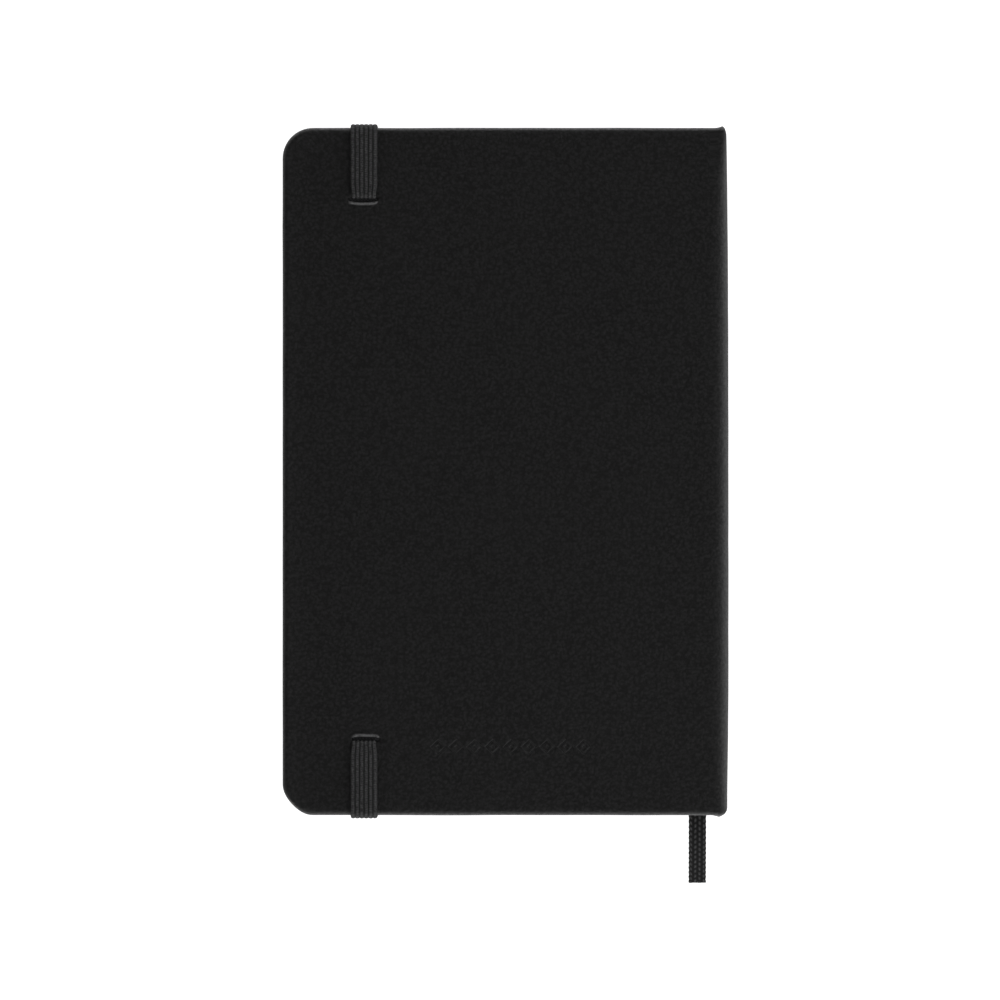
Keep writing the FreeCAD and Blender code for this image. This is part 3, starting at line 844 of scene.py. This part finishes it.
def divide_finely(piece, face):
    """Divides the flat faces round the slits and under the ornament, and cuts the slits."""
    made = bmesh.new()
    made.from_mesh(piece.data)

    def flat(found):
        return all(abs(v.co.z - face) < 0.01 * MM for v in found.verts)

    def from_slit(c):
        return abs(SLIT_PLACES[1 if c.y > 0 else -1]) - abs(c.y)

    def beside_slit(c):
        side = 1 if c.y > 0 else -1
        return abs(c.x - SLIT_MIDDLES[side]) - SLIT_HALVES[side]

    def near_slit(c):
        return beside_slit(c) < 0.7 * MM and -0.7 * MM < from_slit(c) < 1.5 * MM

    def near_ornament(c):
        return (abs(c.x - ORNAMENT[0]) < ORNAMENT_HALF[0] + 0.3 * MM
                and abs(c.y - ORNAMENT[1]) < ORNAMENT_HALF[1] + 0.3 * MM)

    def in_slit(c):
        return beside_slit(c) < 0 and abs(from_slit(c)) < SLIT_GAP / 2

    for wanted, size in ((near_slit, 0.17 * MM), (near_ornament, 0.2 * MM)):
        for _ in range(5):
            chosen = [f for f in made.faces if flat(f) and wanted(f.calc_center_median())]
            edges = {e for f in chosen for e in f.edges if e.calc_length() > size}
            if not edges:
                break
            bmesh.ops.subdivide_edges(made, edges=list(edges), cuts=1, use_grid_fill=True)
    hole = [f for f in made.faces if flat(f) and in_slit(f.calc_center_median())]
    bmesh.ops.delete(made, geom=hole, context="FACES")
    bmesh.ops.triangulate(made, faces=[f for f in made.faces if len(f.verts) > 4])
    made.to_mesh(piece.data)
    made.free()
    piece.data.polygons.foreach_set("use_smooth", [True] * len(piece.data.polygons))


def make_cases():
    edge = HALF - CORNER
    around = (BAND_MIDDLE - 3.3 * MM, BAND_MIDDLE + 3.3 * MM)
    slits = [(y - SLIT_GAP / 2, y + SLIT_GAP / 2) for y in SLIT_PLACES.values()]
    rows = stations(-edge, edge, 2.2 * MM, slits)[1:-1]
    columns = cover_columns(BACK_FACE, 1, around) + spine_columns()
    back = build_case_sheet("back_cover_wrap", columns, rows, 1, BACK_FACE)
    finish_piece(back, "cover_leatherette", "back_cover_skin", "spine_skin")
    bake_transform(back)

    rows = stations(-edge, edge, 2.2 * MM)[1:-1]
    columns = cover_columns(FRONT_FACE, -1)
    columns.append((SHOULDER_START, FRONT_FACE, (0.0, -1), 0.7 * COVER_THICK))
    front = build_case_sheet("front_cover_wrap", columns, rows, -1, FRONT_FACE)
    finish_piece(front, "cover_leatherette", "front_cover_skin")
    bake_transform(front)


def make_slit_linings():
    """The elastic's dark flap, seen at the bottom of each slit."""
    level = BACK_FACE - 0.24 * MM
    for end, side in (("head", 1), ("tail", -1)):
        rows = []
        for k in range(9):
            x = SLIT_MIDDLES[side] + (SLIT_HALVES[side] + 0.3 * MM) * (k / 4 - 1)
            dip = 0.02 * MM * math.sin(math.pi * k / 8)
            rows.append([(x, SLIT_PLACES[side] + y * MM, level - dip) for y in (-0.6, 0.0, 0.6)])
        lining = grid_piece("slit_lining_%s" % end, rows, "black_cloth")
        outward(lining, (0, 0, BACK_FACE + 0.1))
        thicken(lining, 0.05 * MM)
        finish_piece(lining, "black_cloth")
        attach(lining, "back_cover")


def make_stiffener():
    """The card strip inside the spine, between the covering's two layers."""
    strip_low, strip_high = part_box("spine_strip")
    half = strip_high.y - 0.5 * MM
    x = SPINE_FACE - 0.32 * MM
    rows = [[(x + bow(y), y, z) for z in (strip_low.z, strip_high.z)]
            for y in np.linspace(-half, half, 29)]
    strip = grid_piece("spine_stiffener", rows, "board")
    outward(strip, (0.1, 0, 0.008))
    thicken(strip, 0.45 * MM)
    finish_piece(strip, "board", "spine_strip")
    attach(strip, "book_block")


# ---------------------------------------------------------------- the elastic band

def strap_section(knit_phase, width_share, knit):
    """The strap's outline, ribbed above and below: (across, height) round a closed loop."""
    half, thick = BAND_HALF * width_share, BAND_THICK / 2
    loop = []
    for side in (1, -1):
        for k in range(STRAP_STEPS + 1):
            share = k / STRAP_STEPS
            rib = share * RIBS
            index = min(RIBS - 1, int(rib))
            swell = math.sqrt(max(0.0, math.sin(math.pi * (rib - index))))
            beat = 1 + 0.10 * knit * math.sin(knit_phase + math.pi * (index % 2))
            edge = (1 - abs(2 * share - 1) ** 14) ** 0.5
            height = thick * (0.62 + 0.35 * swell * beat) * (0.25 + 0.75 * edge)
            loop.append((half * (2 * share - 1) * side, side * height))
    return loop


def sweep_strap(name, path, narrow_at_start=False, knit=1.0):
    """Sweeps the ribbed outline along a path given as (y, z, turn) in the band's plane."""
    points, sheet, heights = [], [], []
    length, last = 0.0, path[0]
    for y, z, turn in path:
        length += math.dist(last[:2], (y, z))
        last = (y, z)
        share = 1.0
        if narrow_at_start:
            share = 0.91 + 0.09 * ease((length - 1.2 * MM) / (2.2 * MM))
        for across, height in strap_section(2 * math.pi * length / KNIT_PITCH, share, knit):
            points.append((BAND_MIDDLE + across, y - math.sin(turn) * height,
                           z + math.cos(turn) * height))
            sheet.append((across, length))
            groove = (across / share / BAND_HALF / 2 + 0.5) * RIBS % 1.0
            heights.append(math.sin(math.pi * groove) ** 0.8)
    faces = ring_faces(len(path), 2 * (STRAP_STEPS + 1))
    return tidy_mesh(new_piece(name, points, faces, "elastic", sheet, heights), 1e-7)


def bend(centre, radius, start, end, steps):
    """Points (y, z, turn) round a bend, from one angle to another, in degrees."""
    angles = [math.radians(start + (end - start) * k / steps) for k in range(steps + 1)]
    return [(centre[0] + radius * math.cos(a), centre[1] + radius * math.sin(a), a - math.pi / 2)
            for a in angles]


def straight(start, end, turn, step):
    count = max(1, math.ceil(math.dist(start, end) / step))
    return [(start[0] + (end[0] - start[0]) * k / count, start[1] + (end[1] - start[1]) * k / count,
             turn) for k in range(count + 1)]


def turned(path, side):
    """The path as it is at the head, or mirrored at the tail."""
    return [(side * y, z, side * turn) for y, z, turn in path]


def make_band():
    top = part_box("elastic_head_end")[1].z - BAND_THICK / 2
    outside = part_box("elastic_head_leg")[1].y - BAND_THICK / 2
    bottom = run_low.z + BAND_THICK / 2
    bent, entry, step = 1.2 * MM, 0.7 * MM, 0.3 * MM
    corner = outside - bent
    leg = (bend((corner, top - bent), bent, 90, 0, 14)
           + straight((outside, top - bent - step), (outside, bottom + bent + step),
                      -math.pi / 2, step)
           + bend((corner, bottom + bent), bent, 0, -90, 10))
    for end, side in (("head", 1), ("tail", -1)):
        into = abs(SLIT_PLACES[side]) + BAND_THICK / 2 + 0.22 * MM
        rise = straight((into, BACK_FACE - 0.5 * MM), (into, top - entry), math.pi / 2, step)
        path = (rise[:-1] + bend((into + entry, top - entry), entry, 180, 90, 8)
                + straight((into + entry + KNIT_PITCH / 4, top), (corner, top), 0.0,
                           KNIT_PITCH / 4))
        strap = sweep_strap("elastic_%s_strap" % end, turned(path, side), narrow_at_start=True)
        finish_piece(strap, "elastic", "elastic_%s_end" % end)
        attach(strap, "back_cover")
        fall = sweep_strap("elastic_%s_side" % end, turned(leg, side))
        finish_piece(fall, "elastic", "elastic_%s_leg" % end)
        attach(fall, "back_cover")
        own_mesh(fall)
    run = straight((corner, bottom), (-corner, bottom), math.pi, 1.0 * MM)
    front = sweep_strap("elastic_front_strap", run, knit=0.0)
    finish_piece(front, "elastic", "elastic_front_run")
    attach(front, "elastic_band")


# ---------------------------------------------------------------- the ribbon marker

def spline_points(route):
    """Points along the smooth line that a route's points control."""
    curve = bpy.data.curves.new("route", "CURVE")
    curve.dimensions = "3D"
    line = curve.splines.new("NURBS")
    line.points.add(len(route) - 1)
    for point, place in zip(line.points, route):
        point.co = (*place, 1)
    line.order_u = 3
    line.use_endpoint_u = True
    line.resolution_u = 60
    holder = add_object("route", curve)
    seen = holder.evaluated_get(bpy.context.evaluated_depsgraph_get())
    mesh = bpy.data.meshes.new_from_object(seen)
    places = [tuple(v.co) for v in mesh.vertices]
    bpy.data.objects.remove(holder)
    bpy.data.meshes.remove(mesh)
    return places


def braid_height(across, along):
    """Height of the braid's yarns: slanted stitches in columns, each leaning against the next."""
    column = (across / (2 * RIBBON_HALF) + 0.5) * BRAID_COLUMNS
    index = min(BRAID_COLUMNS - 1, max(0, int(column)))
    inside = column - index - 0.5
    lean = (1 if index % 2 else -1) * 0.25
    phase = along / BRAID_PITCH + 0.5 * (index % 2) + lean * inside
    stitch = abs(math.sin(math.pi * phase)) ** 0.7
    rounded = max(0.0, math.cos(math.pi * inside)) ** 1.5
    return rounded * stitch


def ribbon_piece(name, frames, across_steps=28):
    """A flat braided ribbon along frames (place, width, normal, along)."""
    points, sheet, heights = [], [], []
    for place, width, normal, along in frames:
        wave = 1 + 0.022 * math.sin(2 * math.pi * along / BRAID_PITCH)
        for side in (1, -1):
            for k in range(across_steps + 1):
                across = side * RIBBON_HALF * (2 * k / across_steps - 1)
                edge = (1 - abs(across / RIBBON_HALF) ** 10) ** 0.5
                yarn = braid_height(across, along if side > 0 else along + BRAID_PITCH / 2)
                height = side * (0.045 * MM + 0.095 * MM * yarn) * (0.3 + 0.7 * edge)
                points.append(place + width * (across * wave) + normal * height)
                sheet.append((across, along))
                heights.append(yarn)
    faces = ring_faces(len(frames), 2 * (across_steps + 1))
    return tidy_mesh(new_piece(name, points, faces, "ribbon", sheet, heights), 1e-7)


def make_ribbon():
    route = [(RIBBON_MIDDLE + x * MM, y * MM, z * MM) for x, y, z in RIBBON_ROUTE]
    line = [Vector(p) for p in spline_points(route)]
    lengths = [0.0]
    for a, b in zip(line, line[1:]):
        lengths.append(lengths[-1] + (b - a).length)
    total = lengths[-1]
    marks = stations(0.0, total, 1.6 * MM, [(total - 22 * MM, total)], 0.12 * MM)
    frames, k = [], 0
    for mark in marks:
        while k < len(lengths) - 2 and lengths[k + 1] < mark:
            k += 1
        share = (mark - lengths[k]) / max(1e-9, lengths[k + 1] - lengths[k])
        place = line[k].lerp(line[k + 1], share)
        before, after = line[max(0, k - 1)], line[min(len(line) - 1, k + 2)]
        tangent = (after - before).normalized()
        width = Vector((1, 0, 0))
        frames.append((place, width, tangent.cross(width).normalized(), mark))
    ribbon = ribbon_piece("ribbon_braid", frames)
    finish_piece(ribbon, "ribbon", "ribbon_marker")
    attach(ribbon, "book_block")
    fold = make_ribbon_fold()


def make_ribbon_fold():
    """The ribbon's glued end: flat on the folds, over the block's head, into the page gap."""
    anchor_low, anchor_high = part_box("ribbon_anchor")
    flat_x = (anchor_low.x + anchor_high.x) / 2
    level = (anchor_low.z + anchor_high.z) / 2
    over = [(flat_x, 63 * MM), (flat_x, 68.2 * MM), (43.4 * MM, 69.5 * MM), (41.6 * MM, 69.6 * MM)]
    into = [(RIBBON_MIDDLE, y * MM) for y in (69.5, 68.2, 66.6, 64.5)]
    route = [(flat_x, anchor_low.y)] + over + into
    line = [Vector(p) for p in spline_points([(x, y, level) for x, y in route])]
    frames, along = [], 0.0
    for a, b in zip(line[::6], line[6::6]):
        tangent = (b - a).normalized()
        share = ease((68.9 * MM - a.y) / (1.8 * MM)) if a.x < 41 * MM else 0.0
        level_width = tangent.cross(Vector((0, 0, 1))).normalized()
        width = (Vector((0, 0, 1)) * (1 - share) + level_width * share).normalized()
        frames.append((a, width, tangent.cross(width).normalized(), along))
        along += (b - a).length
    fold = ribbon_piece("ribbon_glued_end", frames, 16)
    finish_piece(fold, "ribbon", "ribbon_anchor")
    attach(fold, "book_block")
    return fold


# ---------------------------------------------------------------- paper

def leaf_columns(low, high):
    """(x, half width) from the round fore-edge corners to the fold, closer near the fold."""
    columns = []
    for k in range(9):
        angle = math.pi / 2 * k / 8
        columns.append((low.x + LEAF_CORNER * (1 - math.cos(angle)),
                        high.y - LEAF_CORNER + LEAF_CORNER * math.sin(angle)))
    bend_start = high.x - BEND_REACH
    places = stations(low.x + LEAF_CORNER, high.x, 11 * MM, [(bend_start, high.x)], 0.8 * MM)
    return columns + [(x, high.y) for x in places[1:]]


def leaf_mesh(name, low, high, thick):
    """One closed leaf lying flat, its underside at the low corner's height."""
    columns = leaf_columns(low, high)
    points = [(x, y, z) for x, half in columns for y, z in (
        (-half, low.z), (-half, low.z + thick), (half, low.z + thick), (half, low.z))]
    mesh = bpy.data.meshes.new(name)
    mesh.from_pydata(points, [], ring_faces(len(columns), 4))
    mark_cut_edges(mesh)
    return mesh


def leaf_stack_tree():
    """Geometry nodes that pile copies of a leaf, each shifted a little, into a section."""
    tree = bpy.data.node_groups.new("leaf_stack", "GeometryNodeTree")
    for name, kind in (("Leaf", "Geometry"), ("Leaves", "Int"), ("Pitch", "Float"),
                       ("Shift", "Float"), ("Seed", "Int"), ("Paper", "Material")):
        tree.interface.new_socket(name, in_out="INPUT", socket_type="NodeSocket" + kind)
    tree.interface.new_socket("Section", in_out="OUTPUT", socket_type="NodeSocketGeometry")
    given = node(tree, "NodeGroupInput").outputs
    step = node(tree, "ShaderNodeCombineXYZ", {"Z": given["Pitch"]}).outputs[0]
    line = node(tree, "GeometryNodeMeshLine", {"Count": given["Leaves"], "Offset": step})
    placed = node(tree, "GeometryNodeInstanceOnPoints", {
        "Points": line.outputs[0], "Instance": given["Leaf"]})
    back = node(tree, "ShaderNodeMath", {0: given["Shift"], 1: -1.0}, operation="MULTIPLY")
    low = node(tree, "ShaderNodeCombineXYZ", {"X": back.outputs[0], "Y": back.outputs[0]})
    high = node(tree, "ShaderNodeCombineXYZ", {"X": given["Shift"], "Y": given["Shift"]})
    chance = node(tree, "FunctionNodeRandomValue", {
        0: low.outputs[0], 1: high.outputs[0], "Seed": given["Seed"]}, data_type="FLOAT_VECTOR")
    moved = node(tree, "GeometryNodeTranslateInstances", {
        "Instances": placed.outputs[0], "Translation": chance.outputs[0]})
    real = node(tree, "GeometryNodeRealizeInstances", {0: moved.outputs[0]})
    painted = node(tree, "GeometryNodeSetMaterial", {
        "Geometry": real.outputs[0], "Material": given["Paper"]})
    node(tree, "NodeGroupOutput", {"Section": painted.outputs[0]})
    return tree


def run_nodes(piece, tree, values):
    """Runs a geometry node tree on a piece and keeps the result as its plain mesh."""
    modifier = piece.modifiers.new(tree.name, "NODES")
    modifier.node_group = tree
    for item in tree.interface.items_tree:
        if item.in_out == "INPUT" and item.name in values:
            modifier[item.identifier] = values[item.name]
    return apply_modifiers(piece)


def make_sections():
    tree = leaf_stack_tree()
    for number in range(1, SECTIONS + 1):
        name = "section_%02d" % number
        low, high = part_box(name)
        pitch = (high.z - low.z) / LEAVES_PER_SECTION
        mesh = leaf_mesh(name, low, high, 0.9 * pitch)
        piece = add_object("leaves_%02d" % number, mesh)
        run_nodes(piece, tree, {"Leaves": LEAVES_PER_SECTION, "Pitch": pitch, "Shift": 0.05 * MM,
                                "Seed": number, "Paper": finishes["page_paper"]})
        round_fold(piece, low, high)
        finish_piece(piece, "page_paper", name)
        ride_leaf(piece, name)


def round_fold(piece, low, high):
    """Draws the leaves together at the spine, where the sheets are folded round each other."""
    middle, half = (low.z + high.z) / 2, (high.z - low.z) / 2
    for vertex in piece.data.vertices:
        near = (vertex.co.x - (high.x - half)) / half
        if near > 0:
            share = min(1.0, near)
            vertex.co.z = middle + (vertex.co.z - middle) * math.sqrt(max(0.1, 1 - share * share))


def ride_leaf(piece, name):
    """A leaf whose node is a body of its own is baked where it lies; one that isn't rides with the
    block.
    """
    if name in frame["bodies"]:
        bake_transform(piece)
    else:
        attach(piece, "book_block")


def make_flyleaves():
    for name in ("front_flyleaf", "rear_flyleaf"):
        low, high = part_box(name)
        mesh = leaf_mesh(name, low, high, high.z - low.z)
        mesh.materials.append(finishes["endpaper"])
        piece = add_object(name.replace("flyleaf", "free_endpaper"), mesh)
        finish_piece(piece, "endpaper", name)
        ride_leaf(piece, name)


def make_endpaper_joint(name, pastedown, flyleaf, up):
    """The endpaper's fold between a pastedown and the flyleaf, lying in the joint."""
    pasted_low, pasted_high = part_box(pastedown)
    half = pasted_high.y
    board_face = (pasted_low.z if up > 0 else pasted_high.z) - up * 0.02 * MM
    leaf_level = (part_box(flyleaf)[1].z if up > 0 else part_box(flyleaf)[0].z) + up * 0.05 * MM
    start, end = pasted_high.x - 4.0 * MM, SPINE_IN + 0.35 * MM
    rows = []
    for share in np.linspace(0, 1, 17):
        x = start + (end - start) * share
        z = board_face + (leaf_level - board_face) * ease((share - 0.7) / 0.3)
        rows.append([(x, -half, z), (x, half, z)])
    piece = grid_piece(name, rows, "endpaper")
    outward(piece, (0, 0, board_face - up * 0.1))
    thicken(piece, 0.1 * MM)
    finish_piece(piece, "endpaper")
    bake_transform(piece)


# ---------------------------------------------------------------- the inner pocket

def make_pocket_panel(low, high):
    """The pocket's card front."""
    rows = [[(x, y, high.z) for y in np.linspace(low.y, high.y, 17)]
            for x in np.linspace(low.x, high.x, 13)]
    panel = grid_piece("pocket_front_card", rows, "pocket_card")
    outward(panel, (0, 0, high.z + 0.1))
    thicken(panel, high.z - low.z)
    edge = panel.modifiers.new("worn_edge", "BEVEL")
    edge.width = 0.06 * MM
    edge.segments = 2
    edge.limit_method = "ANGLE"
    apply_modifiers(panel)
    finish_piece(panel, "pocket_card", "pocket_panel")
    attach(panel, "pocket_panel")


def make_gusset(name, node_name, edge_x, fold_x):
    """A strip of cloth folded once inwards between the back sheet and the panel."""
    low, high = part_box(node_name)
    top, bottom = high.z + 0.01 * MM, low.z - 0.01 * MM
    middle, halfway = (top + bottom) / 2, (edge_x + fold_x) / 2
    across = [(edge_x, top), (halfway, (top + middle) / 2 + 0.03 * MM),
              (fold_x, middle + 0.05 * MM), (fold_x, middle - 0.05 * MM),
              (halfway, (bottom + middle) / 2 - 0.03 * MM), (edge_x, bottom)]
    rows = [[(x, y, z) for x, z in across] for y in np.linspace(low.y, high.y, 33)]
    gusset = grid_piece(name, rows, "black_cloth", smooth=False)
    thicken(gusset, 0.05 * MM, 0)
    finish_piece(gusset, "black_cloth", node_name)
    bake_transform(gusset)


def make_end_tape():
    """Cloth tape round the pocket's closed end, from the pastedown on to the card."""
    low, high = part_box("pocket_base_tape")
    upper, lower = high.z - 0.02 * MM, low.z - 0.06 * MM
    reach, turn = low.y + 4.1 * MM, low.y + 0.3 * MM
    path = [(reach, upper), (turn, upper), (low.y + 0.08 * MM, (low.z + high.z) / 2),
            (turn, lower), (reach, lower)]
    rows = [[(x, y, z) for y, z in path] for x in np.linspace(low.x, high.x, 13)]
    tape = grid_piece("pocket_end_tape", rows, "black_cloth")
    thicken(tape, 0.08 * MM, 0)
    finish_piece(tape, "black_cloth", "pocket_base_tape")
    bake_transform(tape)


def make_pocket():
    low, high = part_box("pocket_panel")
    make_pocket_panel(low, high)
    make_gusset("pocket_gusset_spine", "pocket_spine_gusset", high.x, high.x - GUSSET_WIDTH)
    make_gusset("pocket_gusset_fore", "pocket_fore_gusset", low.x, low.x + GUSSET_WIDTH)
    make_end_tape()


# ---------------------------------------------------------------- CAD nodes that stay

KEPT = {
    "front_board": "board", "back_board": "board",
    "spine_lining": "mull_cloth", "sewing_thread": "thread",
    "front_pastedown": "endpaper", "back_pastedown": "endpaper",
    "pocket_back_sheet": "endpaper",
}


def dress_kept_nodes():
    for name, finish in KEPT.items():
        mesh = frame["nodes"][name].data
        mesh.materials.clear()
        mesh.materials.append(finishes[finish])


# ---------------------------------------------------------------- room, light and camera

def make_camera():
    data = bpy.data.cameras.new("camera")
    data.lens = 180
    data.sensor_width = 36
    data.clip_start = 0.05
    data.clip_end = 20
    camera = add_object("camera", data)
    height = VIEW_WIDTH * data.lens / data.sensor_width
    camera.location = (*VIEW_MIDDLE, BACK_FACE + height)
    bpy.context.scene.camera = camera


def make_floor():
    """A pale floor, low enough for the front cover to lie open beside the block."""
    mesh = bpy.data.meshes.new("floor")
    corners = [(-1, -1), (1, -1), (1, 1), (-1, 1)]
    mesh.from_pydata([(x * FLOOR_HALF, y * FLOOR_HALF, 0) for x, y in corners], [], [(0, 1, 2, 3)])
    material, _, shader = new_material("pale_floor", 0.9, specular=0.0)
    shader.inputs["Base Color"].default_value = (0.5, 0.5, 0.5, 1)
    shader.inputs["Emission Color"].default_value = (1, 1, 1, 1)
    shader.inputs["Emission Strength"].default_value = 0.90
    mesh.materials.append(material)
    floor = add_object("floor", mesh)
    floor.location.z = FLOOR_LEVEL


def make_world():
    """A white surround that dims overhead, so that flat black faces stay dark."""
    world = bpy.data.worlds.new("studio")
    bpy.context.scene.world = world
    world.use_nodes = True
    tree = world.node_tree
    place = node(tree, "ShaderNodeTexCoord").outputs["Generated"]
    parts = node(tree, "ShaderNodeSeparateXYZ", {0: place})
    ends = spread(tree, maths(tree, "ABSOLUTE", parts.outputs["Y"]), 0.45, 0.85)
    spine_side = spread(tree, parts.outputs["X"], 0.45, 0.85)
    low = mix_colour(tree, maths(tree, "MAXIMUM", ends, spine_side), grey(1.0), grey(3.4))
    share = spread(tree, parts.outputs["Z"], 0.08, 0.52)
    colour = mix_colour(tree, share, low, grey(0.10))
    tree.links.new(colour, tree.nodes["Background"].inputs["Color"])


def make_lamp(name, place, size, power):
    """A softbox that looks at the middle of the notebook."""
    data = bpy.data.lights.new(name, "AREA")
    data.shape = "RECTANGLE"
    data.size, data.size_y = size
    data.energy = power
    lamp = add_object(name, data)
    lamp.location = place
    lamp.rotation_mode = "QUATERNION"
    lamp.rotation_quaternion = (-Vector(place)).to_track_quat("-Z", "Y")


def make_light():
    make_world()
    make_lamp("tail_softbox", (0.15, -0.9, 0.62), (1.0, 0.5), 5.0)
    make_lamp("spine_softbox", (0.95, 0.05, 0.55), (0.5, 0.9), 3.0)
    make_lamp("head_softbox", (-0.1, 1.0, 0.45), (1.0, 0.4), 2.0)
    scene = bpy.context.scene
    scene.view_settings.view_transform = "Standard"
    scene.view_settings.look = "None"


make_camera()
make_ribbon()
make_cases()
make_slit_linings()
make_stiffener()
make_band()
make_sections()
make_flyleaves()
make_endpaper_joint("rear_endpaper_joint", "back_pastedown", "rear_flyleaf", 1)
make_endpaper_joint("front_endpaper_joint", "front_pastedown", "front_flyleaf", -1)
make_pocket()
dress_kept_nodes()
make_floor()
make_light()
